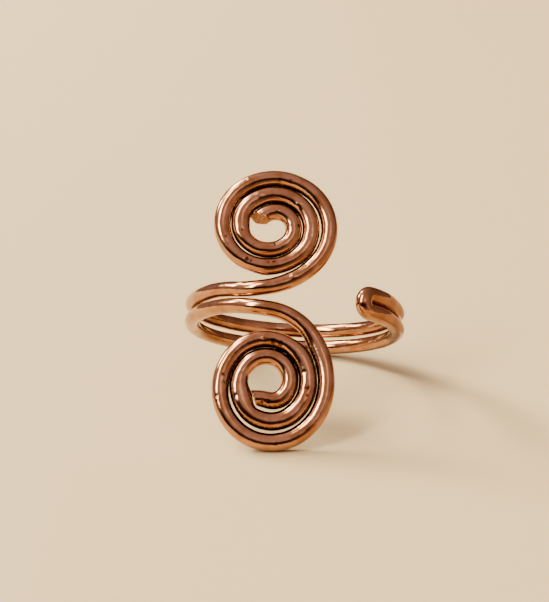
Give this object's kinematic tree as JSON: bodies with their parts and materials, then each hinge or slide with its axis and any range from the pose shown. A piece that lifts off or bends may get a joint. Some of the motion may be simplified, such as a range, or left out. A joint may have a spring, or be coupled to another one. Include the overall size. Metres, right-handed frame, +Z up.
{
  "type": "spiral ring",
  "caption": "Adjustable wire ring: a band of folded copper wire whose free ends part at the front and coil into flat spirals above and below the band.",
  "frame": {"origin": "centre of the bottom of the bounding box, on the table under the ring as it rests", "axes": "+Z is up from the table; +Y runs from the spirals at the front to the back of the band; +X is to the right, seen from the front"},
  "size_m": [0.021, 0.0258, 0.0216],
  "materials": {
    "copper_wire": "polished copper"
  },
  "bodies": {
    "root": {"ring_wire": "copper_wire"}
  },
  "joints": []
}
